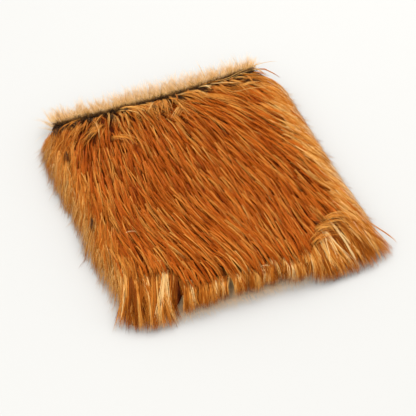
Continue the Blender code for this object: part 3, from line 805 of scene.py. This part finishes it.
makeNeckFall(hairMaterial("fallHair", tones="golden", tip="peach", rootEnd=0.1, tipStart=0.72,
                          toneStart=0.0))
print("neck fall")

# the pale fringe of the turned-in face rim

fringe = {"pitch": 0.002, "rows": 4, "perWisp": 5, "points": 5, "spread": 0.0016, "width": 0.00044,
          "reach": 0.042, "rise": 0.023, "lean": 4.0, "splay": 24.0, "sway": 13.0, "hemRows": 2,
          "hemReach": 0.027}


def makeFringe(material):
    left, right = (float(v) for v in edgesAt(0.0))
    count = round((right - left - 0.006) / fringe["pitch"])
    rows = fringe["rows"] + fringe["hemRows"]
    share = np.tile((np.arange(count) + 0.5) / count, rows)
    share = share + between(-0.5, 0.5, share) / count
    x = left + 0.003 + (right - left - 0.006) * share
    layer = np.repeat(np.arange(rows), count)
    overHem = layer >= fringe["rows"]  # the last rows start at the dark line, and lie back over the hem
    y = np.where(overHem, rimAt(x) + between(0.001, 0.004, x), faceY + 0.007)
    y = y + skewOf(x, np.full_like(x, faceY))
    z = np.where(overHem, 0.0272, 0.004 + 0.003 * layer)
    turned = fringe["lean"] + fringe["splay"] * (2 * share - 1) ** 3
    sway = fringe["sway"] * (0.8 * vary(1, x) + 0.8 * ripple(x, 0.011, 61))
    lean = np.radians(turned + sway)
    reach = np.where(overHem, fringe["hemReach"], fringe["reach"]) * between(0.6, 1.03, x)
    reach = reach * (0.93 + 0.1 * ripple(x, 0.009, 62))
    rise = np.where(overHem, 0.006, fringe["rise"] * between(0.25, 1.1, x))
    steps = np.linspace(0, 1, 13)
    bow = np.radians(16) * vary(1, x)
    turned = lean[:, None] + bow[:, None] * steps
    run = reach[:, None] * steps
    guides = np.stack([x[:, None] + run * np.sin(turned), y[:, None] + run * np.cos(turned),
                       z[:, None] + rise[:, None] * steps**0.8], axis=-1)
    owner = np.repeat(np.arange(len(x)), fringe["perWisp"])
    picked = np.linspace(0, 12, fringe["points"]).astype(int)
    paths = guides[owner][:, picked]
    shares = steps[picked]
    aside = vary(fringe["spread"], owner)
    paths[..., 0] += aside[:, None] * (1 - 0.4 * shares) + vary(0.0024, owner)[:, None] * shares**2
    paths[..., 2] += vary(0.0008, owner)[:, None] + vary(0.002, owner)[:, None] * shares**2
    paths[..., 1] += (between(-0.16, 0.02, owner) * reach[owner])[:, None] * shares
    paths[..., 2] = np.maximum(paths[..., 2], 0.0012)
    tones = 0.72 + 0.14 * vary(1, x) + 0.08 * ripple(x, 0.013, 63) - 0.1 * overHem
    tones = tones[owner] + vary(0.08, owner)
    widths = taper(len(owner), shares, fringe["width"], tipWidth=0.12)
    hairPiece("faceFringe", paths, widths, tones, material, "face_fringe")


makeFringe(hairMaterial("fringeHair", tones="pale", tip="peach", rootEnd=0.5, tipStart=0.4, toneStart=0.2,
                        root="tan"))
print("face fringe")

# the tangled dark roots along the face rim, and the unruly tufts behind them

tangle = {"pitch": 0.001, "perWisp": 5, "points": 5, "width": 0.00055, "length": 0.013, "band": 0.005}
rimLocks = {"pitch": 0.0048, "perWisp": 7, "shares": [0, 0.12, 0.36, 0.66, 1.0], "spread": 0.0012,
            "width": 0.0007}
rimTufts = [  # across, along, lean, bend, length, lift, hairs, spread, tone; lengths in mm
    (-0.78, 0.045, -38, 6, 60, 2.5, 14, 2.0, 0.74), (-0.59, 0.09, -50, 4, 66, 3.0, 16, 2.0, 0.76),
    (-0.66, 0.09, -44, 4, 50, 1.5, 12, 1.8, 0.7), (-0.9, 0.03, -30, 14, 50, 1.5, 14, 2.0, 0.64),
    (-0.98, 0.02, -16, 10, 56, 1.0, 14, 2.2, 0.6), (-0.7, 0.02, -20, -14, 40, 1.5, 12, 1.8, 0.62),
    (-0.5, 0.035, 30, -75, 46, 4.5, 7, 0.5, 0.9), (-0.6, 0.19, 74, -84, 60, 3.5, 9, 1.1, 0.74),
    (-0.41, 0.01, 76, -70, 68, 5.0, 8, 0.6, 0.84), (-0.3, 0.03, 10, -14, 56, 2.0, 14, 1.9, 0.66),
    (-0.22, 0.02, 28, -24, 58, 2.0, 12, 1.7, 0.7), (-0.08, 0.02, -4, -14, 56, 3.5, 14, 1.6, 0.8),
    (0.04, 0.02, -12, -6, 58, 3.5, 16, 1.6, 0.78), (0.12, 0.12, -36, -8, 38, 3.5, 9, 1.1, 0.82),
    (0.1, 0.03, 14, -8, 86, 3.0, 12, 1.2, 0.78), (-0.01, 0.01, -24, 10, 40, 2.0, 12, 1.4, 0.7),
    (0.2, 0.02, 40, -14, 60, 2.0, 14, 1.7, 0.7), (0.26, 0.05, 66, -34, 50, 2.5, 14, 1.6, 0.74),
    (0.33, 0.08, 60, -24, 84, 2.5, 16, 1.8, 0.76), (0.45, 0.03, 52, -20, 64, 2.0, 14, 1.9, 0.68),
    (0.6, 0.02, 44, -20, 60, 2.0, 14, 1.9, 0.66), (0.69, 0.03, 16, -4, 64, 2.5, 12, 1.5, 0.72),
    (0.73, 0.1, 98, -34, 36, 4.5, 6, 0.6, 0.92), (0.8, 0.02, 60, -34, 54, 2.0, 14, 1.9, 0.7),
    (0.92, 0.012, 52, -46, 56, 2.0, 16, 2.0, 0.68), (0.5, 1.04, 122, -52, 46, 2.5, 14, 1.5, 0.74),
    (0.58, 0.985, 112, -56, 46, 2.5, 14, 1.6, 0.8), (0.7, 0.95, 102, -60, 52, 2.5, 14, 1.8, 0.76),
]
darkTufts = [
    (-0.5, 0.04, 4, 0, 26, 4.5, 14, 1.6, 0.45), (-0.72, 0.11, -22, 0, 30, 3.5, 10, 1.2, 0.5),
    (0.13, 0.035, 20, 8, 26, 4.5, 12, 1.4, 0.45), (-0.09, 0.045, 0, 0, 28, 4.0, 10, 1.2, 0.5),
    (-0.33, 0.02, -10, 0, 20, 4.0, 10, 1.4, 0.45), (-0.92, 0.025, -34, 10, 26, 3.5, 16, 2.6, 0.6),
    (-0.99, 0.025, -20, 10, 28, 2.5, 12, 2.0, 0.55), (-0.8, 0.025, -34, 10, 24, 3.5, 14, 2.4, 0.6),
    (-0.66, 0.02, -30, 10, 20, 3.5, 12, 2.2, 0.6), (-1.0, 0.2, -14, 0, 30, 0.8, 5, 0.35, 0.5),
    # the tuft at across 0.63, along 0.95 is painted shade in the right corner's crease
    (-1.02, 0.59, -20, 0, 30, 0.8, 5, 0.35, 0.5), (0.63, 0.95, 30, 0, 12, 2.0, 6, 0.8, 0.4),
    (0.34, 0.03, 56, -6, 34, 4.0, 8, 1.0, 0.5), (0.62, 0.05, 60, -10, 34, 3.5, 8, 1.0, 0.5),
    (0.8, 0.06, 66, -16, 34, 3.5, 8, 1.0, 0.5), (0.9, 0.01, 66, -20, 26, 3.5, 12, 2.0, 0.55),
]


def makeTangle(material):
    left, right = (float(v) for v in edgesAt(0.0))
    count = round((right - left) / tangle["pitch"])
    owner = np.repeat(np.arange(count), tangle["perWisp"])
    x = left + (right - left) * (owner + between(0, 1, owner)) / count
    across = acrossOf(x)
    ends = smoothStep(-0.55, -0.95, across) + smoothStep(0.6, 0.9, across)  # wider, darker ends
    wide = tangle["band"] * (0.8 + 0.9 * ends + 0.4 * ripple(x, 0.03, 52))
    band = between(-0.8, 0.5, owner) * wide
    y = rimAt(x) + band
    hemTop = clothTop(x, np.full_like(x, faceY)) + 0.0058
    z = np.where(y > faceY - 0.001, hemTop, clothTop(x, y) + 0.003 + between(0, 0.003, x))
    y = y + skewOf(x, np.full_like(x, faceY))
    step = tangle["length"] * between(0.5, 1.1, owner) / (tangle["points"] - 1)
    turn = between(0, math.tau, owner)
    rise = between(0.2, 1.3, owner)
    curl, dip = vary(1.1, owner), between(0.3, 1.0, owner)
    line = []
    for i in range(tangle["points"]):
        line.append(np.stack([x, y, z], axis=-1))
        x = x + step * np.cos(turn) * np.cos(rise)
        y = y + step * np.sin(turn) * np.cos(rise)
        z = z + step * np.sin(rise)
        turn, rise = turn + curl, rise - dip
    paths = np.stack(line, axis=1)
    tones = 0.38 + 0.3 * vary(1, owner) + 0.3 * ripple(x, 0.02, 51) - 0.2 * ends
    widths = taper(len(owner), np.linspace(0, 1, tangle["points"]), tangle["width"])
    hairPiece("rimTangle", paths, widths, tones, material)


def makeTufts(name, tufts, paler, material):
    allPaths, allTones = [], []
    shares = [0, 0.1, 0.28, 0.52, 0.76, 1.0]
    for across, along, lean, bend, length, lift, hairs, spread, tone in tufts:
        hairs = round(1.6 * hairs)
        x = np.full(hairs, tubeX + across * halfWidth) + 1.5 * chance.normal(0, spread / 1000, hairs)
        y = faceY - along * tubeLength + chance.normal(0, 0.003, hairs)
        y = np.minimum(y, rimAt(x) + 0.001) + skewOf(x, y)
        start = np.radians(lean + 5 * chance.normal(0, 1, hairs))
        turn = np.radians(bend * chance.uniform(0.8, 1.2, hairs))
        reach = length / 1000 * chance.uniform(0.6, 1.1, hairs)
        guides = tracePile(x, y, lambda share, gx, gy: start + turn * share, reach, 16)
        guides[:, :, 2] += lift / 1000 * np.sin(np.linspace(0, 1, 17) * math.pi) ** 0.7
        paths, _ = growHairs(guides, 1, 0.0004, shares, -0.001, rise=0.12, gather=0.2, curl=0.001)
        allPaths.append(paths)
        allTones.append(tone + paler + chance.normal(0, 0.09, hairs))
    paths, tones = np.concatenate(allPaths), np.concatenate(allTones)
    widths = taper(len(paths), shares, 0.0006, tipWidth=0.2)
    hairPiece(name, paths, widths, tones, material)


def makeRimLocks(material):  # they rise from the dark roots on the hem, and fall forward over it
    left, right = (float(v) for v in edgesAt(0.0))
    count = round((right - left) / rimLocks["pitch"])
    x = left + (right - left) * (np.arange(count) + chance.uniform(0, 1, count)) / count
    y = rimAt(x) + chance.uniform(-0.005, 0.003, count)
    shares = np.linspace(0, 1, 17)
    turn = combLean(x, y) + np.radians(26) * chance.normal(0, 1, count)
    wave = np.radians(34) * chance.normal(0, 1, count)
    length = mane["hair"] * chance.uniform(0.35, 0.95, count)
    heading = turn[:, None] + wave[:, None] * (1 - shares)
    step = length[:, None] / 16
    px = x[:, None] + np.cumsum(np.sin(heading) * step, axis=1)
    py = y[:, None] - np.cumsum(np.cos(heading) * step, axis=1)
    rim = clothTop(px, np.minimum(py, faceY)) + 0.0045
    over = chance.uniform(0.0005, 0.005, count)[:, None] * np.sin(shares * math.pi) ** 0.6
    pz = np.where(py > faceY - 0.006, rim, np.maximum(drapeHeight(px, py), clothTop(px, py)))
    pz = pz + over + 0.001
    py = py + skewOf(px, np.minimum(py, faceY))
    guides = np.stack([px, py, pz], axis=-1)
    owner = np.repeat(np.arange(count), rimLocks["perWisp"])
    place = np.array(rimLocks["shares"])[None] * between(0.75, 1.0, owner)[:, None] * 16
    paths = pickAlong(guides, owner, place)
    gathered = 1 - 0.5 * np.array(rimLocks["shares"])
    paths[..., 0] += vary(rimLocks["spread"], owner)[:, None] * gathered
    paths[..., 2] += vary(0.0006, owner)[:, None]
    tones = 0.58 + 0.15 * chance.normal(0, 1, count)[owner] + vary(0.08, owner)
    widths = taper(len(owner), rimLocks["shares"], rimLocks["width"], tipWidth=0.2)
    hairPiece("rimLocks", paths, widths, tones, material)


darkHair = hairMaterial("tangleHair", tones="dark", rootEnd=0.05, tipStart=0.95)
makeTangle(darkHair)
makeRimLocks(hairMaterial("lockHair", tones="golden", rootEnd=0.42, tipStart=0.6))
tuftHair = hairMaterial("tuftHair", tones="golden", rootEnd=0.34, tipStart=0.6)
makeTufts("rimTufts", rimTufts, -0.17, tuftHair)
makeTufts("darkTufts", darkTufts, 0.0, darkHair)
print("face rim")

# stray hairs: across, along, height, lean, bend, length, lift, width; lengths in mm
strays = [
    (-0.83, 0.725, 34, 84, -34, 15, 2.0, 0.55), (-0.73, 0.905, 33, 84, -34, 14, 2.0, 0.5),
    (-0.58, 1.03, 31, 82, -28, 13, 2.0, 0.5), (0.02, 1.08, 37, 86, -36, 13, 2.0, 0.55),
    (-1.04, 0.02, 22, -78, 30, 34, 3, 0.3), (-1.05, 0.09, 20, -58, 10, 32, 2, 0.3),
    (-1.06, 0.18, 18, -70, 46, 36, 2, 0.28), (-1.07, 0.3, 14, -54, 30, 30, 1, 0.28),
    (-1.1, 0.42, 12, -66, 20, 24, 1, 0.28), (1.0, 0.03, 22, 100, -30, 26, 3, 0.3),
    (1.04, 0.16, 20, 74, -20, 26, 2, 0.28), (1.08, 0.48, 14, 60, -14, 24, 1, 0.28),
]
# long loose strands at the right end of the rim: points of across, along and height, then width; in mm
looseStrands = [
    ([(0.54, 0.0, 33), (0.64, 0.028, 37), (0.79, 0.0, 38), (0.97, -0.03, 35), (1.14, -0.048, 30),
      (1.24, -0.05, 25)], 1.05),
    ([(0.6, 0.1, 34), (0.66, 0.12, 38), (0.71, 0.128, 40), (0.8, 0.13, 41), (0.88, 0.135, 39),
      (0.95, 0.145, 36)], 0.8),
    ([(0.5, 0.01, 33), (0.6, 0.034, 36), (0.72, 0.02, 37), (0.86, 0.0, 35), (0.96, -0.01, 33),
      (1.02, -0.012, 30)], 0.55),
]


def makeStrays(material):
    shares = np.linspace(0, 1, 9)
    paths, widths = [], []
    for points, width in looseStrands:
        points = np.array(points)
        finer = np.linspace(0, 5, 33)
        smooth = np.stack([np.interp(finer, range(6), points[:, i]) for i in range(3)], axis=-1)
        for _ in range(6):
            smooth[1:-1] = (smooth[:-2] + smooth[2:]) / 2
        smooth = smooth[::4]
        x, y = tubeX + smooth[:, 0] * halfWidth, faceY - smooth[:, 1] * tubeLength
        paths.append(np.stack([x, y, smooth[:, 2] / 1000], axis=-1))
        widths.append(width / 1000 * (1 - 0.7 * smoothStep(0.6, 1, shares)))
    for across, along, height, lean, bend, length, lift, width in strays:
        headings = np.radians(lean + bend * (shares[1:] - 0.5 / 8))
        step = length / 1000 / 8
        x = np.concatenate([[0], np.cumsum(np.sin(headings) * step)]) + tubeX + across * halfWidth
        y = faceY - along * tubeLength - np.concatenate([[0], np.cumsum(np.cos(headings) * step)])
        z = height / 1000 + lift / 1000 * np.sin(shares * math.pi * 0.8)
        paths.append(np.stack([x, y + skewOf(x, y), z], axis=-1))
        widths.append(width / 1000 * (1 - 0.7 * smoothStep(0.5, 1, shares)))
    tones = 0.85 + 0.05 * vary(1, paths)
    tones = tones - 0.35 * (np.arange(len(paths)) < len(looseStrands))  # the long ones are darker
    hairPiece("strayHairs", np.array(paths), np.array(widths), tones, material)


makeStrays(hairMaterial("strayHair", tones="pale", tip="peach", rootEnd=0.04, tipStart=0.6))
print("stray hairs")

# the pile under the lower wall

underPile = {"margin": 0.003, "across": 48, "along": 60, "wisps": 480, "perWisp": 5, "points": 5,
             "width": 0.00046, "spreadAcross": 0.135, "reach": 0.062}


def underPlace(shareX, shareY, isTop):
    y = faceY - 0.0006 - shareY * (tubeLength - 0.0012)
    left, right = edgesAt(alongIn(y))
    x = left - underPile["margin"] + (right - left + 2 * underPile["margin"]) * shareX
    ridge = 0.001 * np.abs(softNoise(x * 4, y * 0.5, 0.018, 21))
    z = np.full_like(x, mane["underPile"] - 0.0002) if isTop else ridge
    return x, y + skewOf(x, y), z


def makeUnderPile():
    # the pile bed's colour, with its painted shade, serves here too
    piece = makeSlab("underPile", underPile["across"], underPile["along"], underPlace,
                     bpy.data.materials["pileBed"])
    piece.data.set_sharp_from_angle(angle=math.radians(50))
    dress(piece, "mane_fur_under")


def makeUnderHair(material):
    count = underPile["wisps"]
    share = (np.arange(count) + chance.uniform(0, 1, count)) / count
    x = tubeX + underPile["spreadAcross"] * (2 * share - 1)
    y = neckY + chance.uniform(0.002, 0.01, count)
    lean = np.radians(12) * chance.normal(0, 1, count) + np.radians(8)
    reach = underPile["reach"] * chance.uniform(0.8, 1.05, count)
    steps = np.linspace(0, 1, underPile["points"])
    owner = np.repeat(np.arange(count), underPile["perWisp"])
    run = (reach[owner] * between(0.85, 1.05, owner))[:, None] * steps
    turned = lean[owner][:, None] + (np.radians(14) * vary(1, owner))[:, None] * steps
    z = chance.uniform(0.002, 0.0075, count)[owner][:, None] * (1 - 0.5 * steps) + 0.0006
    aside = vary(0.0014, owner)[:, None]
    paths = np.stack([x[owner][:, None] + aside + run * np.sin(turned),
                      y[owner][:, None] - run * np.cos(turned),
                      z + np.abs(vary(0.0006, owner))[:, None]], axis=-1)
    tones = 0.95 + 0.1 * chance.normal(0, 1, count)[owner] + vary(0.05, owner)
    widths = taper(len(owner), steps, underPile["width"], tipWidth=0.12)
    hairPiece("underHair", paths, widths, tones, material, "mane_fur_under")


makeUnderPile()
makeUnderHair(hairMaterial("underHair", tones="pale", tip="peach", rootEnd=0.06, tipStart=0.25,
                           toneStart=0.2))
print("under pile")

# the cloth and its hems


def clothMaterial(name, dark, light, scale, roughness):
    material = bpy.data.materials.new(name)
    material.use_nodes = True
    tree = material.node_tree
    shader = tree.nodes["Principled BSDF"]
    coords = tree.nodes.new("ShaderNodeTexCoord")
    knit = tree.nodes.new("ShaderNodeTexVoronoi")
    knit.inputs["Scale"].default_value = scale
    fuzz = tree.nodes.new("ShaderNodeTexNoise")
    fuzz.inputs["Scale"].default_value = scale * 0.4
    fuzz.inputs["Detail"].default_value = 5.0
    tree.links.new(coords.outputs["Object"], knit.inputs["Vector"])
    tree.links.new(coords.outputs["Object"], fuzz.inputs["Vector"])
    both = mathNode(tree, "MULTIPLY", knit.outputs["Distance"], fuzz.outputs["Fac"])
    tree.links.new(rampNode(tree, [(0.05, dark), (0.4, light)], both), shader.inputs["Base Color"])
    roughen(tree, shader, both, 0.7, 0.0008, roughness)
    return material


def dressCloth():
    backing = clothMaterial("knitBacking", (0.03, 0.016, 0.009), (0.11, 0.062, 0.034), 900, 0.9)
    hem = clothMaterial("hemCloth", (0.01, 0.005, 0.003), (0.05, 0.022, 0.01), 700, 0.95)
    for node, material in (("backing_tube", backing), ("face_hem", hem), ("neck_hem", hem)):
        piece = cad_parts[node]
        piece.data.materials.clear()
        piece.data.materials.append(material)


dressCloth()
print("cloth and hems")
